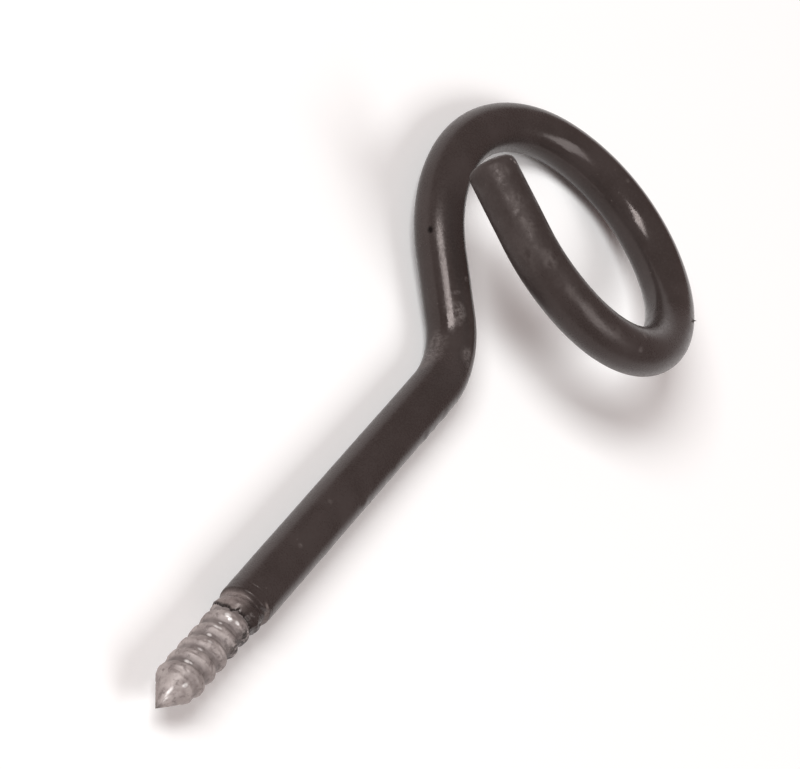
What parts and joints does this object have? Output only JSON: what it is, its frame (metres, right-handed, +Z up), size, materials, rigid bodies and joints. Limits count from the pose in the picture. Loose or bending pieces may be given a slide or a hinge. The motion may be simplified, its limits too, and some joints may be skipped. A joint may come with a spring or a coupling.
{
  "type": "cable hook",
  "caption": "Screw-in cable hook: plastic-coated steel rod bent into an open ring, with a bare wood-screw thread and a cone point.",
  "frame": {"origin": "on the surface it lies on, in the middle of its footprint", "axes": "+Z up; +X along the shank in plan, from the screw point towards the ring; +Y towards the side the rod bends to"},
  "size_m": [0.1272, 0.045, 0.0226],
  "materials": {
    "coating": "satin",
    "zinc_steel": "satin"
  },
  "bodies": {
    "root": {"steel_rod": "zinc_steel", "plastic_coating": "coating"}
  },
  "joints": []
}
